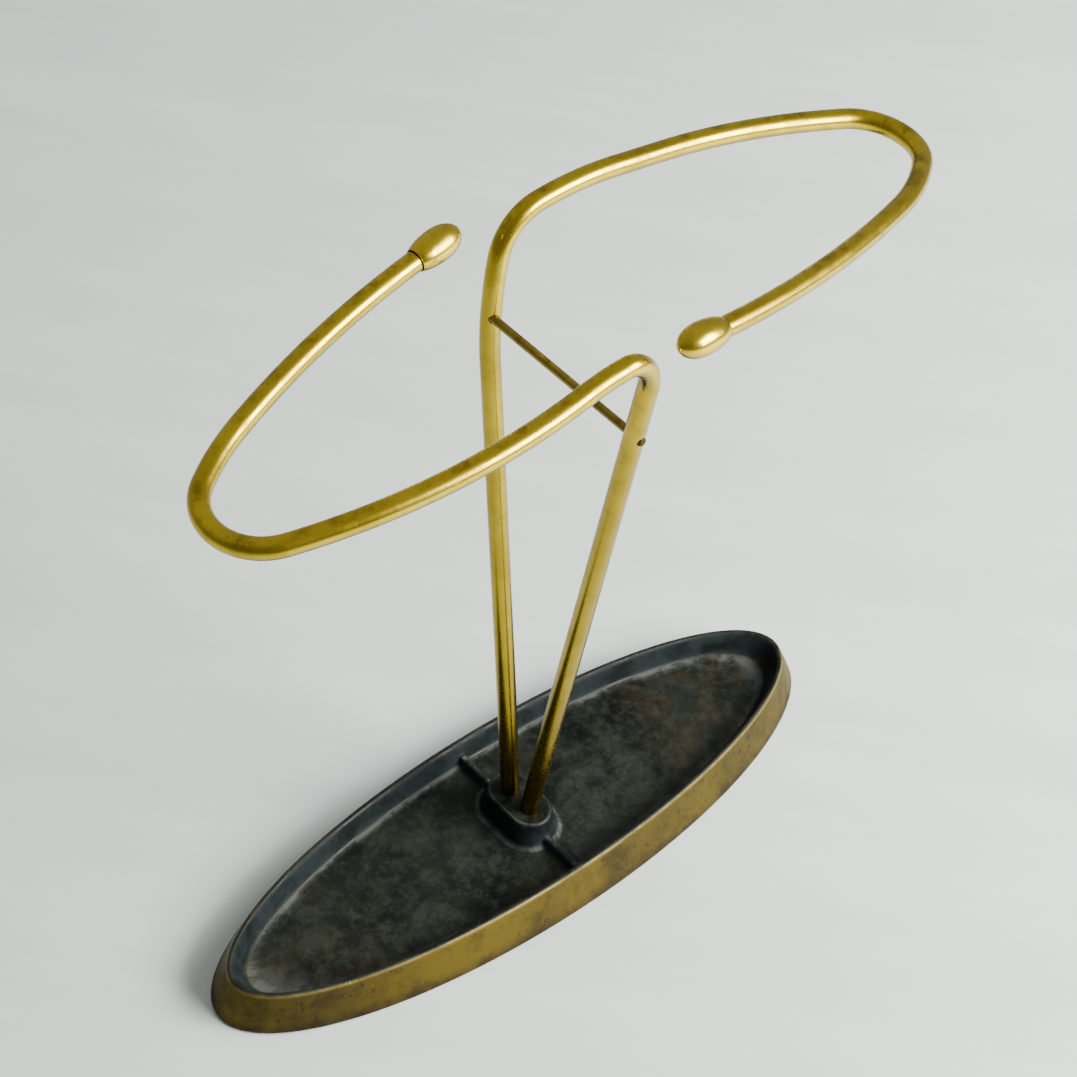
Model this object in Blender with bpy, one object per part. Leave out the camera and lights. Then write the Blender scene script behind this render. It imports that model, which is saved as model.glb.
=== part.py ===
"""Umbrella stand: an oval cast-iron drip tray, two bent brass tubes and the pieces that hold them.

Sizes are in millimetres and MM turns them into metres. X runs along the tray, Y across it and Z
up, and they are measured from the centre of the tray's foot. The rear hoop reaches further than
the front one, so STAND_SHIFT then puts the finished pieces' origin under the middle of their box.
Each tube rises from the boss in the middle of the tray, bends over at the top and lies as a long
open hoop above one half of it. The rear tube stands at +Y with its hoop towards +X; the front
tube is opposite in both.
"""
import math

import bmesh
import bpy
from mathutils import Matrix, Quaternion, Vector

MM = 0.001
GAP = 0.3
STAND_SHIFT = Vector((-10.3, 4.0, 0.0))

# Tray rings as (half length, half width, height): foot edge, flared wall, rim, inner wall, floor.
TRAY_TOP_RINGS = (
    (214.0, 67.0, 0.0),
    (215.0, 68.0, 1.4),
    (210.6, 63.4, 11.6),
    (206.2, 58.8, 21.6),
    (205.2, 57.8, 23.1),
    (203.6, 56.2, 23.9),
    (202.0, 54.7, 23.2),
    (200.8, 53.7, 21.4),
    (197.0, 52.0, 15.6),
    (194.6, 51.2, 12.2),
    (191.4, 50.2, 10.5),
    (187.0, 48.4, 9.8),
)
# The hollow underside, from the inner edge of the foot back to the floor's lower face.
TRAY_UNDER_RINGS = (
    (209.6, 62.6, 0.0),
    (208.6, 61.6, 1.2),
    (204.6, 57.6, 9.6),
    (200.0, 54.6, 10.6),
    (192.0, 50.0, 6.4),
    (186.0, 46.6, 5.4),
)
TRAY_SEGMENTS = 64

# Boss: a stadium lying across the tray. Rings are (end radius, height).
BOSS_HALF_SPACING = 9.0
BOSS_RINGS = (
    (21.0, 7.6),
    (20.0, 9.9),
    (17.6, 11.4),
    (15.8, 14.2),
    (13.6, 24.0),
    (12.8, 25.6),
    (11.6, 26.3),
)
BOSS_ARC_SEGMENTS = 12

# Rib from the boss to the wall, on both sides: its section as (half width, height).
RIB_SECTION = ((5.0, 9.3), (4.6, 10.4), (3.0, 11.8), (2.2, 14.6), (1.2, 15.6))
RIB_INNER_Y = 18.0
RIB_OUTER_Y = 52.4

# Tubes: both share the foot, the lean and the hoop's tilt; each was bent by hand at the top.
TUBE_RADIUS = 5.6
TUBE_BORE_RADIUS = 4.7
TUBE_SIDES = 16
BORE_SIDES = 12
FOOT_Y = 8.2
FOOT_Z = 21.6
FOOT_LEAN = math.radians(6.8)
UPRIGHT_LEAN = math.radians(8.0)
FOOT_CURVE_LENGTH = 107.0
HOOP_HEIGHT = 424.0
HOOP_DROP = math.radians(6.7)
# Each top bend is a run of (radius, share of the turn): easy, tight, then easing into the hoop.
REAR_BEND = ((235.7, 0.154), (31.1, 0.697), (190.7, 0.149))
FRONT_BEND = ((32.3, 0.209), (27.1, 0.348), (12.0, 0.443))
REAR_HOOP_HEADING = math.radians(-4.1)
FRONT_HOOP_HEADING = math.radians(-3.2)
# Hoop arcs as (length, turn in degrees), from the top bend to the finial.
REAR_HOOP_ARCS = ((30.7, 0.2), (113.1, -19.1), (61.9, -118.8), (45.0, -21.2), (154.1, -14.9))
FRONT_HOOP_ARCS = ((24.4, 7.9), (158.9, -25.2), (66.7, -125.6), (37.4, -14.3), (129.0, -14.2))
MAX_TURN_PER_RING = math.radians(11.0)
MAX_RING_STEP = 22.0

# Distances along the foot's own axis, measured upwards from the point at FOOT_Y, FOOT_Z.
SEAT_T = -13.2
SOCKET_FLOOR_T = -7.6
TUBE_END_T = SOCKET_FLOOR_T + GAP
SOCKET_RADIUS = TUBE_RADIUS + GAP
SOCKET_OPEN_T = 12.0

PLUG_RADIUS = 4.2
PLUG_TOP_T = 8.0
PLUG_HOLE_T = 3.4

SCREW_RADIUS = 2.0
SCREW_HOLE_RADIUS = SCREW_RADIUS + GAP
SCREW_TIP_T = 2.6
HEAD_RADIUS = 3.6
HEAD_HEIGHT = 3.0
SLOT_WIDTH = 1.0
SLOT_DEPTH = 1.2
WASHER_RADIUS = 4.4
WASHER_THICKNESS = 1.0
SPOT_FACE_RADIUS = 5.2
SPOT_FACE_OPEN_T = -22.0
SCREW_SIDES = 24

# Crossbar: a rod through both uprights, with its ends peened just proud of the tubes.
CROSSBAR_RADIUS = 2.35
CROSSBAR_HOLE_RADIUS = CROSSBAR_RADIUS + GAP
CROSSBAR_Z = 361.0
CROSSBAR_PROUD = 0.8
CROSSBAR_CHAMFER = 0.5
CROSSBAR_SIDES = 16
CROSSBAR_CUTTER_REACH = 12.0

# Finials: an egg with a short neck, turned about the line of the tube's end.
FINIAL_LENGTH = 29.6
FINIAL_NECK_EASE = 0.4
FINIAL_MAX_RADIUS = 8.75
FINIAL_MAX_AT = 14.4
FINIAL_BACK_REACH = 20.2
FINIAL_SIDES = 24
FINIAL_RINGS_TO_MAX = 6
FINIAL_RINGS_TO_TIP = 7
SPIGOT_RADIUS = 4.2
SPIGOT_DEPTH = 12.0
STEM_RADIUS = 2.5
STEM_LENGTH = 9.0
FINIAL_BORE_RADIUS = STEM_RADIUS + GAP
FINIAL_BORE_DEPTH = STEM_LENGTH + GAP
SPIGOT_SIDES = 16

UP = Vector((0.0, 0.0, 1.0))


def clear_scene():
    """Remove everything the file opened with."""
    for obj in list(bpy.data.objects):
        bpy.data.objects.remove(obj, do_unlink=True)


def material(name, colour, roughness, metallic):
    """Return a Principled material."""
    mat = bpy.data.materials.new(name)
    mat.use_nodes = True
    shader = mat.node_tree.nodes["Principled BSDF"]
    shader.inputs["Base Color"].default_value = (*colour, 1.0)
    shader.inputs["Roughness"].default_value = roughness
    shader.inputs["Metallic"].default_value = metallic
    mat.diffuse_color = (*colour, 1.0)
    return mat


def add_object(name, verts, faces, mat=None):
    """Make an object from vertices in millimetres, with faces turned outwards."""
    mesh = bpy.data.meshes.new(name)
    mesh.from_pydata([(Vector(v) + STAND_SHIFT) * MM for v in verts], [], faces)
    bm = bmesh.new()
    bm.from_mesh(mesh)
    bmesh.ops.recalc_face_normals(bm, faces=bm.faces)
    bm.to_mesh(mesh)
    bm.free()
    obj = bpy.data.objects.new(name, mesh)
    bpy.context.scene.collection.objects.link(obj)
    if mat is not None:
        mesh.materials.append(mat)
    return obj


def shade_round(obj, angle_degrees=30.0):
    """Shade smooth with sharp edges above the angle."""
    obj.data.shade_smooth()
    obj.data.set_sharp_from_angle(angle=math.radians(angle_degrees))


def apply_boolean(obj, cutter, operation):
    """Apply an exact Boolean with the cutter and remove the cutter."""
    cutter.hide_render = True
    cutter.display_type = 'WIRE'
    modifier = obj.modifiers.new(operation.lower(), 'BOOLEAN')
    modifier.operation = operation
    modifier.solver = 'EXACT'
    modifier.object = cutter
    graph = bpy.context.evaluated_depsgraph_get()
    result = bpy.data.meshes.new_from_object(obj.evaluated_get(graph))
    obj.modifiers.clear()
    old_mesh = obj.data
    obj.data = result
    bpy.data.meshes.remove(old_mesh)
    bpy.data.objects.remove(cutter, do_unlink=True)


def loft(rings, close_ends=True):
    """Return vertices and faces for rings of equal count joined in order."""
    count = len(rings[0])
    verts = [v for ring in rings for v in ring]
    faces = []
    for i in range(len(rings) - 1):
        for j in range(count):
            k = (j + 1) % count
            faces.append((i * count + j, i * count + k, (i + 1) * count + k, (i + 1) * count + j))
    if close_ends:
        faces.append(tuple(range(count)))
        last = (len(rings) - 1) * count
        faces.append(tuple(range(last, last + count)))
    return verts, faces


def circle_ring(centre, axis, radius, sides, start=None):
    """Return a ring of points round an axis."""
    axis = axis.normalized()
    side = start if start is not None else axis.orthogonal()
    side = (side - axis * side.dot(axis)).normalized()
    other = axis.cross(side)
    ring = []
    for i in range(sides):
        angle = 2.0 * math.pi * (i + 0.5) / sides
        ring.append(centre + (side * math.cos(angle) + other * math.sin(angle)) * radius)
    return ring


def turned(name, origin, axis, profile, sides, mat=None, start=None):
    """Make a turned solid from a profile of (distance along the axis, radius)."""
    rings = [circle_ring(origin + axis * t, axis, r, sides, start) for t, r in profile]
    verts, faces = loft(rings)
    return add_object(name, verts, faces, mat)


def rod(name, origin, axis, t0, t1, radius, sides, mat=None, start=None):
    """Make a plain round rod between two distances along an axis."""
    return turned(name, origin, axis, ((t0, radius), (t1, radius)), sides, mat, start)


def ellipse_ring(half_length, half_width, height, segments):
    """Return a level oval ring."""
    ring = []
    for i in range(segments):
        angle = 2.0 * math.pi * i / segments
        ring.append(Vector((half_length * math.cos(angle), half_width * math.sin(angle), height)))
    return ring


def stadium_ring(radius, height):
    """Return a level stadium ring whose long axis is Y."""
    ring = []
    for end in (1.0, -1.0):
        for i in range(BOSS_ARC_SEGMENTS + 1):
            angle = math.pi * i / BOSS_ARC_SEGMENTS
            ring.append(Vector((
                end * radius * math.cos(angle),
                end * (BOSS_HALF_SPACING + radius * math.sin(angle)),
                height,
            )))
    return ring


def foot_frame(side):
    """Return the origin and axis of a tube's foot; side is +1 at the rear and -1 at the front."""
    origin = Vector((0.0, side * FOOT_Y, FOOT_Z))
    axis = Vector((0.0, side * math.sin(FOOT_LEAN), math.cos(FOOT_LEAN)))
    return origin, axis


def make_tray(mat):
    """Cast the tray with its boss and ribs, then cut the sockets and screw holes."""
    inside_out = list(reversed(TRAY_UNDER_RINGS)) + list(TRAY_TOP_RINGS)
    rings = [ellipse_ring(a, b, z, TRAY_SEGMENTS) for a, b, z in inside_out]
    verts, faces = loft(rings)
    tray = add_object("base_tray", verts, faces, mat)

    verts, faces = loft([stadium_ring(r, z) for r, z in BOSS_RINGS])
    apply_boolean(tray, add_object("boss", verts, faces), 'UNION')

    for side in (1.0, -1.0):
        apply_boolean(tray, make_rib(side), 'UNION')

    for side in (1.0, -1.0):
        origin, axis = foot_frame(side)
        socket = rod("socket", origin, axis, SOCKET_FLOOR_T, SOCKET_OPEN_T, SOCKET_RADIUS, 32)
        apply_boolean(tray, socket, 'DIFFERENCE')
        face = rod("spot_face", origin, axis, SPOT_FACE_OPEN_T, SEAT_T, SPOT_FACE_RADIUS, 24)
        apply_boolean(tray, face, 'DIFFERENCE')
        hole = rod("hole", origin, axis, SPOT_FACE_OPEN_T, SOCKET_FLOOR_T + 2.0,
                   SCREW_HOLE_RADIUS, SCREW_SIDES)
        apply_boolean(tray, hole, 'DIFFERENCE')
    shade_round(tray)
    return tray


def make_rib(side):
    """Make one rib solid for joining to the tray."""
    rings = []
    for y in (RIB_INNER_Y, RIB_OUTER_Y):
        left = [Vector((-w, side * y, z)) for w, z in RIB_SECTION]
        right = [Vector((w, side * y, z)) for w, z in reversed(RIB_SECTION)]
        rings.append(left + right)
    verts, faces = loft(rings)
    return add_object("rib", verts, faces)


def arc_points(start, heading, length, turn, steps):
    """Return points along a level arc, without its start, and its end heading."""
    points = []
    for i in range(1, steps + 1):
        part = i / steps
        if abs(turn) < 1e-6:
            along = length * part
            offset = Vector((math.cos(heading), math.sin(heading))) * along
        else:
            radius = length / turn
            angle = heading + turn * part
            offset = Vector((
                radius * (math.sin(angle) - math.sin(heading)),
                radius * (math.cos(heading) - math.cos(angle)),
            ))
        points.append(start + offset)
    return points, heading + turn


def steps_for(length, turn):
    """Return how many rings an arc needs."""
    by_turn = math.ceil(abs(turn) / MAX_TURN_PER_RING)
    by_length = math.ceil(length / MAX_RING_STEP)
    return max(by_turn, by_length if abs(turn) > 1e-6 else 1, 1)


def bend_points(bend, stages):
    """Return a staged bend as (distance along the old line, distance towards the new one)."""
    along, aside, angle = 0.0, 0.0, 0.0
    points = []
    for radius, share in stages:
        turn = bend * share
        steps = steps_for(radius * turn, turn)
        for i in range(1, steps + 1):
            end = angle + turn * i / steps
            points.append((along + radius * (math.sin(end) - math.sin(angle)),
                           aside + radius * (math.cos(angle) - math.cos(end))))
        along, aside = points[-1]
        angle += turn
    return points


def tube_path(bend_stages, hoop_heading, hoop_arcs):
    """Return the rear tube's centre line, from the foot to the finial, in millimetres."""
    origin, axis = foot_frame(1.0)
    points = [origin + axis * TUBE_END_T, origin]

    # The foot curves gently outwards until it reaches the upright's lean.
    curve_turn = UPRIGHT_LEAN - FOOT_LEAN
    curve, _ = arc_points(Vector((0.0, 0.0)), math.pi / 2 - FOOT_LEAN, FOOT_CURVE_LENGTH,
                          -curve_turn, 3)
    points += [origin + Vector((0.0, p.x, p.y)) for p in curve]
    upright_start = points[-1]
    upright = Vector((0.0, math.sin(UPRIGHT_LEAN), math.cos(UPRIGHT_LEAN)))

    # The hoop lies in a plane that falls away towards the end of the tray.
    along = Vector((math.cos(HOOP_DROP), 0.0, -math.sin(HOOP_DROP)))
    across = Vector((0.0, 1.0, 0.0))
    normal = along.cross(across)
    rise = (Vector((0.0, 0.0, HOOP_HEIGHT)) - upright_start).dot(normal) / upright.dot(normal)
    corner = upright_start + upright * rise
    hoop_start = along * math.cos(hoop_heading) + across * math.sin(hoop_heading)

    bend = upright.angle(hoop_start)
    curve = bend_points(bend, bend_stages)
    end_along, end_aside = curve[-1]
    bend_start = corner - upright * (end_along - end_aside / math.tan(bend))
    inward = (hoop_start - upright * upright.dot(hoop_start)).normalized()
    points.append(bend_start)
    points += [bend_start + upright * a + inward * b for a, b in curve]

    hoop_origin = points[-1]
    at, heading = Vector((0.0, 0.0)), hoop_heading
    for length, turn_degrees in hoop_arcs:
        turn = math.radians(turn_degrees)
        arc, heading = arc_points(at, heading, length, turn, steps_for(length, turn))
        points += [hoop_origin + along * p.x + across * p.y for p in arc]
        at = arc[-1]
    return points


def half_turn(points):
    """Turn points half a turn about the vertical, from the rear tube to the front one."""
    return [Vector((-p.x, -p.y, p.z)) for p in points]


def path_tangents(points):
    """Return the direction of the path at each point."""
    tangents = []
    for i in range(len(points)):
        before = points[max(i - 1, 0)]
        after = points[min(i + 1, len(points) - 1)]
        into = (points[i] - before).normalized() if i > 0 else None
        out = (after - points[i]).normalized() if i < len(points) - 1 else None
        if into is None:
            tangents.append(out)
        elif out is None:
            tangents.append(into)
        else:
            tangents.append((into + out).normalized())
    return tangents


def sweep_rings(points, radius, sides):
    """Return rings along a path, carried without twist."""
    tangents = path_tangents(points)
    side = Vector((1.0, 0.0, 0.0))
    rings = []
    for i, point in enumerate(points):
        if i > 0:
            side = tangents[i - 1].rotation_difference(tangents[i]) @ side
        rings.append(circle_ring(point, tangents[i], radius, sides, side))
    return rings


def make_tube(name, points, mat):
    """Make an open-ended tube along a path and drill it for the crossbar."""
    outer = sweep_rings(points, TUBE_RADIUS, TUBE_SIDES)
    verts, faces = loft(outer)
    tube = add_object(name, verts, faces, mat)

    tangents = path_tangents(points)
    core_points = [points[0] - tangents[0] * 2.0] + points[1:-1] + [points[-1] + tangents[-1] * 2.0]
    verts, faces = loft(sweep_rings(core_points, TUBE_BORE_RADIUS, BORE_SIDES))
    apply_boolean(tube, add_object("core", verts, faces), 'DIFFERENCE')

    centre = Vector((0.0, point_at_height(points, CROSSBAR_Z).y, CROSSBAR_Z))
    across = Vector((0.0, 1.0, 0.0))
    drill = rod("drill", centre, across, -CROSSBAR_CUTTER_REACH, CROSSBAR_CUTTER_REACH,
                CROSSBAR_HOLE_RADIUS, CROSSBAR_SIDES, start=UP)
    apply_boolean(tube, drill, 'DIFFERENCE')
    shade_round(tube, 40.0)
    return tube


def point_at_height(points, height):
    """Return the point on the upright at a height."""
    for low, high in zip(points, points[1:]):
        if low.z <= height <= high.z:
            return low.lerp(high, (height - low.z) / (high.z - low.z))
    return points[0]


def make_crossbar(rear, front, mat):
    """Make the rod that ties the two uprights together."""
    lap = TUBE_RADIUS / math.cos(UPRIGHT_LEAN) + CROSSBAR_PROUD
    rear_y = point_at_height(rear, CROSSBAR_Z).y + lap
    front_y = point_at_height(front, CROSSBAR_Z).y - lap
    small = CROSSBAR_RADIUS - CROSSBAR_CHAMFER
    profile = (
        (front_y, small),
        (front_y + CROSSBAR_CHAMFER, CROSSBAR_RADIUS),
        (rear_y - CROSSBAR_CHAMFER, CROSSBAR_RADIUS),
        (rear_y, small),
    )
    axis = Vector((0.0, 1.0, 0.0))
    bar = turned("crossbar", Vector((0.0, 0.0, CROSSBAR_Z)), axis, profile, CROSSBAR_SIDES, mat, UP)
    shade_round(bar)
    return bar


def finial_profile():
    """Return the egg as (distance from the neck's face, radius)."""
    profile = []
    for i in range(FINIAL_RINGS_TO_MAX + 1):
        t = FINIAL_NECK_EASE + (FINIAL_MAX_AT - FINIAL_NECK_EASE) * i / FINIAL_RINGS_TO_MAX
        short_of_max = (FINIAL_MAX_AT - t) / FINIAL_BACK_REACH
        profile.append((t, FINIAL_MAX_RADIUS * math.sqrt(1.0 - short_of_max ** 2)))
    profile.insert(0, (0.0, profile[0][1] - FINIAL_NECK_EASE))
    tip_length = FINIAL_LENGTH - FINIAL_MAX_AT
    for i in range(1, FINIAL_RINGS_TO_TIP):
        angle = math.pi / 2 * i / FINIAL_RINGS_TO_TIP
        profile.append((FINIAL_MAX_AT + tip_length * math.sin(angle),
                        FINIAL_MAX_RADIUS * math.cos(angle)))
    profile.append((FINIAL_LENGTH, 0.6))
    return tuple(profile)


def make_finial(name, points, mat):
    """Make the egg on the end of a tube, with the blind bore its spigot screws into."""
    axis = path_tangents(points)[-1]
    neck = points[-1] + axis * GAP
    finial = turned(name, neck, axis, finial_profile(), FINIAL_SIDES, mat)
    bore = rod("bore", neck, axis, -2.0, FINIAL_BORE_DEPTH, FINIAL_BORE_RADIUS, SPIGOT_SIDES)
    apply_boolean(finial, bore, 'DIFFERENCE')
    shade_round(finial, 40.0)
    return finial


def make_spigot(name, points, mat):
    """Make the stepped plug that joins a finial to its tube."""
    axis = path_tangents(points)[-1]
    profile = (
        (-SPIGOT_DEPTH, SPIGOT_RADIUS - 0.5),
        (-SPIGOT_DEPTH + 0.5, SPIGOT_RADIUS),
        (0.0, SPIGOT_RADIUS),
        (0.0, STEM_RADIUS),
        (STEM_LENGTH, STEM_RADIUS),
    )
    spigot = turned(name, points[-1], axis, profile, SPIGOT_SIDES, mat)
    shade_round(spigot)
    return spigot


def make_foot_plug(name, side, mat):
    """Make the plug in a tube's foot, with a blind hole for the screw."""
    origin, axis = foot_frame(side)
    plug = rod(name, origin, axis, TUBE_END_T, PLUG_TOP_T, PLUG_RADIUS, SPIGOT_SIDES, mat)
    hole = rod("hole", origin, axis, TUBE_END_T - 2.0, PLUG_HOLE_T, SCREW_HOLE_RADIUS, SCREW_SIDES)
    apply_boolean(plug, hole, 'DIFFERENCE')
    shade_round(plug)
    return plug


def make_washer(name, side, mat):
    """Make the washer between the screw head and the boss."""
    origin, axis = foot_frame(side)
    top = SEAT_T - GAP
    washer = rod(name, origin, axis, top - WASHER_THICKNESS, top, WASHER_RADIUS, SCREW_SIDES, mat)
    hole = rod("hole", origin, axis, top - 5.0, top + 5.0, SCREW_HOLE_RADIUS, SCREW_SIDES)
    apply_boolean(washer, hole, 'DIFFERENCE')
    shade_round(washer)
    return washer


def make_screw(name, side, mat):
    """Make the slotted cheese-head screw that holds a tube down."""
    origin, axis = foot_frame(side)
    head_top = SEAT_T - WASHER_THICKNESS - 2.0 * GAP
    head_bottom = head_top - HEAD_HEIGHT
    profile = (
        (head_bottom, HEAD_RADIUS - 0.4),
        (head_bottom + 0.4, HEAD_RADIUS),
        (head_top, HEAD_RADIUS),
        (head_top, SCREW_RADIUS),
        (SCREW_TIP_T - 0.5, SCREW_RADIUS),
        (SCREW_TIP_T, SCREW_RADIUS - 0.5),
    )
    screw = turned(name, origin, axis, profile, SCREW_SIDES, mat)
    apply_boolean(screw, make_slot(origin, axis, head_bottom), 'DIFFERENCE')
    shade_round(screw)
    return screw


def make_slot(origin, axis, head_bottom):
    """Make the block that cuts the screwdriver slot."""
    side = Vector((1.0, 0.0, 0.0))
    other = axis.cross(side)
    half_length = HEAD_RADIUS + 1.0
    half_width = SLOT_WIDTH / 2
    rings = []
    for t in (head_bottom - 2.0, head_bottom + SLOT_DEPTH):
        centre = origin + axis * t
        rings.append([
            centre + side * half_length + other * half_width,
            centre - side * half_length + other * half_width,
            centre - side * half_length - other * half_width,
            centre + side * half_length - other * half_width,
        ])
    verts, faces = loft(rings)
    return add_object("slot", verts, faces)


def build():
    """Build every piece of the stand."""
    clear_scene()
    iron = material("cast_iron_black", (0.035, 0.036, 0.034), 0.62, 0.5)
    brass = material("brass_tube", (0.62, 0.44, 0.16), 0.3, 1.0)
    turned_brass = material("brass_turned", (0.68, 0.48, 0.18), 0.25, 1.0)
    rod_brass = material("brass_rod", (0.42, 0.29, 0.11), 0.38, 1.0)
    steel = material("steel_fixing", (0.46, 0.46, 0.45), 0.4, 1.0)

    rear = tube_path(REAR_BEND, REAR_HOOP_HEADING, REAR_HOOP_ARCS)
    front = half_turn(tube_path(FRONT_BEND, FRONT_HOOP_HEADING, FRONT_HOOP_ARCS))

    make_tray(iron)
    make_crossbar(rear, front, rod_brass)
    for name, side, points in (("rear", 1.0, rear), ("front", -1.0, front)):
        make_tube(name + "_hoop_tube", points, brass)
        make_finial(name + "_finial", points, turned_brass)
        make_spigot(name + "_finial_spigot", points, rod_brass)
        make_foot_plug(name + "_foot_plug", side, rod_brass)
        make_washer(name + "_base_washer", side, steel)
        make_screw(name + "_base_screw", side, steel)


build()
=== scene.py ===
"""Looks of the umbrella stand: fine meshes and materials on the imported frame."""
import math

import bmesh
import bpy
from mathutils import Matrix, Vector, noise

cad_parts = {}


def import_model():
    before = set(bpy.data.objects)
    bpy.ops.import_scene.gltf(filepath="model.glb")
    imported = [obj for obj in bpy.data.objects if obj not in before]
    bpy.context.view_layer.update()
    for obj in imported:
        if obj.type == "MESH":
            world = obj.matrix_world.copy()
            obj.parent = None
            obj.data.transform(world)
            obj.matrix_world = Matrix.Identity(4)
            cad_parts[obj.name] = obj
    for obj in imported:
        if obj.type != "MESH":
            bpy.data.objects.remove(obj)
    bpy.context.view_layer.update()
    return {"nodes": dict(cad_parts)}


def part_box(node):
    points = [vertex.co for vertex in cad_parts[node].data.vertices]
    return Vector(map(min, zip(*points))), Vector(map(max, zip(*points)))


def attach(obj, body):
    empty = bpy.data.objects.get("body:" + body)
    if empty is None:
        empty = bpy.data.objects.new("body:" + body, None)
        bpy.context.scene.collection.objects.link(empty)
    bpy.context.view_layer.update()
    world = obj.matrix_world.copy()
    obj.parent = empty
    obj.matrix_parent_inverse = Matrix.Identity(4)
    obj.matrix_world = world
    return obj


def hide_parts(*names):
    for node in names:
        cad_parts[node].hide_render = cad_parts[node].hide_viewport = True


MM = 0.001

# The camera: its place and aim, and its lens on a 36 mm sensor.
CAMERA_PLACE = (-0.7276, -0.7185, 1.3015)
CAMERA_TURN = (43.772, -3.622, -40.852)
CAMERA_LENS = 94.04

# The tubes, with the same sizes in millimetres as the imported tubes.
TUBE_RADIUS = 5.52
TUBE_SIDES = 48
TUBE_STEP = 1.6
UPRIGHT_STEP = 4.0
TURN_STEP = math.radians(2.0)
FOOT_Y = 8.2
FOOT_Z = 21.6
FOOT_LEAN = math.radians(6.8)
FOOT_CURVE_LENGTH = 107.0
FOOT_END = -7.3
UPRIGHT_LEAN = math.radians(8.0)
HOOP_HEIGHT = 424.0
HOOP_DROP = math.radians(6.7)
REAR_BEND = ((235.7, 0.154), (31.1, 0.697), (190.7, 0.149))
FRONT_BEND = ((32.3, 0.209), (27.1, 0.348), (12.0, 0.443))
REAR_HEADING = math.radians(-4.1)
FRONT_HEADING = math.radians(-3.2)
REAR_ARCS = ((30.7, 0.2), (113.1, -19.1), (61.9, -118.8), (45.0, -21.2), (154.1, -14.9))
FRONT_ARCS = ((24.4, 7.9), (158.9, -25.2), (66.7, -125.6), (37.4, -14.3), (129.0, -14.2))
CROSSBAR_RADIUS = 2.35
CROSSBAR_HOLE_RADIUS = 2.65
CROSSBAR_DRILL_REACH = 12.0
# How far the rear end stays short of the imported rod's end, to sit just inside its hole.
CROSSBAR_TAIL = 2.4
# The rod's peened end as (distance from the tip, share of the radius).
CROSSBAR_DOME = ((0.0, 0.35), (0.1, 0.72), (0.3, 0.92), (0.6, 1.0))
CROSSBAR_STEPS = 60
CROSSBAR_STAIN = 0.8

# The finial stands off its tube by a hair, with a dark seam round its neck.
FINIAL_GAP = 0.3
FINIAL_SEAM = 0.35
# The finial's outline as (distance from the neck's face, radius) in millimetres.
FINIAL_OUTLINE = (
    (0.0, 5.72), (0.08, 5.98), (0.3, 6.1), (0.7, 6.22), (2.0, 6.8), (4.0, 7.45), (6.5, 8.02),
    (9.0, 8.34), (11.8, 8.56), (14.4, 8.63), (17.2, 8.5), (20.0, 8.12), (22.6, 7.35),
    (25.0, 6.2), (27.0, 4.72), (28.4, 3.18), (29.2, 1.85), (29.5, 0.85), (29.55, 0.2),
)

# The tray's rings as (half length, half width, height) in millimetres.
FLOOR_RING = (184.0, 47.6, 9.8)
WALL_RINGS = (
    (187.5, 48.5, 9.85), (189.6, 49.3, 10.1), (191.6, 50.2, 10.6), (193.3, 50.8, 11.4),
    (194.7, 51.2, 12.4), (196.0, 51.7, 14.0), (197.2, 52.1, 15.8), (198.6, 52.7, 18.0),
    (200.0, 53.3, 20.4), (200.8, 53.8, 21.7), (201.5, 54.4, 22.7), (202.3, 55.1, 23.45),
    (203.3, 56.0, 23.85), (204.2, 56.9, 23.8), (204.9, 57.5, 23.4),
)
OUTER_RINGS = (
    (205.35, 58.0, 22.9), (205.7, 58.35, 22.3), (206.15, 58.8, 21.4), (208.4, 61.1, 16.4),
    (210.6, 63.4, 11.6), (212.8, 65.7, 6.4), (214.4, 67.35, 2.9), (214.9, 67.9, 1.5),
    (214.85, 67.85, 0.8), (214.4, 67.4, 0.25), (213.7, 66.7, 0.0),
)
UNDER_RINGS = (
    (210.2, 63.2, 0.0), (209.4, 62.4, 0.25), (208.8, 61.8, 1.0), (206.8, 59.8, 5.4),
    (204.9, 58.0, 8.9), (203.6, 57.0, 10.1), (201.4, 55.6, 10.7), (199.0, 54.2, 10.2),
    (195.2, 51.9, 8.1), (192.0, 50.0, 6.4), (188.4, 48.0, 5.6), (184.0, 45.8, 5.4),
)
# The boss is a stadium: its rings by radius, then its side and the ribs' side as
# (distance from the middle, height).
BOSS_SPACING = 9.0
BOSS_FAN_RADIUS = 18.0
BOSS_RADII = (
    6.0, 8.0, 10.0, 11.0, 11.6, 12.1, 12.5, 12.9, 13.3, 13.7, 14.1, 14.5, 14.9, 15.3, 15.7,
    16.1, 16.6, 17.2, 18.0, 19.0, 20.2, 21.6,
)
BOSS_SLOPE = (
    (10.6, 26.3), (11.6, 26.15), (12.3, 25.8), (12.9, 25.1), (13.3, 24.2), (15.5, 14.6),
    (16.1, 12.7), (17.0, 11.4), (18.4, 10.5), (20.4, 9.95), (21.6, 9.8),
)
RIB_SLOPE = (
    (0.0, 15.7), (0.9, 15.6), (1.6, 15.2), (2.2, 14.3), (2.8, 12.7), (3.5, 11.4),
    (4.6, 10.4), (6.2, 9.9), (8.0, 9.8),
)
RIB_REACH = 53.0
FLOOR_LEVEL = 9.8
RIB_SPOKES = 9
RIB_SPOKE_GAP = 0.9
QUARTER_SPOKES = 46
# Shares of the way from the boss to the edge of the tray's floor.
SPREAD_STEPS = (0.02, 0.05, 0.09, 0.15, 0.23, 0.33, 0.45, 0.58, 0.71, 0.83, 0.93, 1.0)
CAST_UNEVENNESS = 0.16
CAST_LIMIT = 17.0

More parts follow.
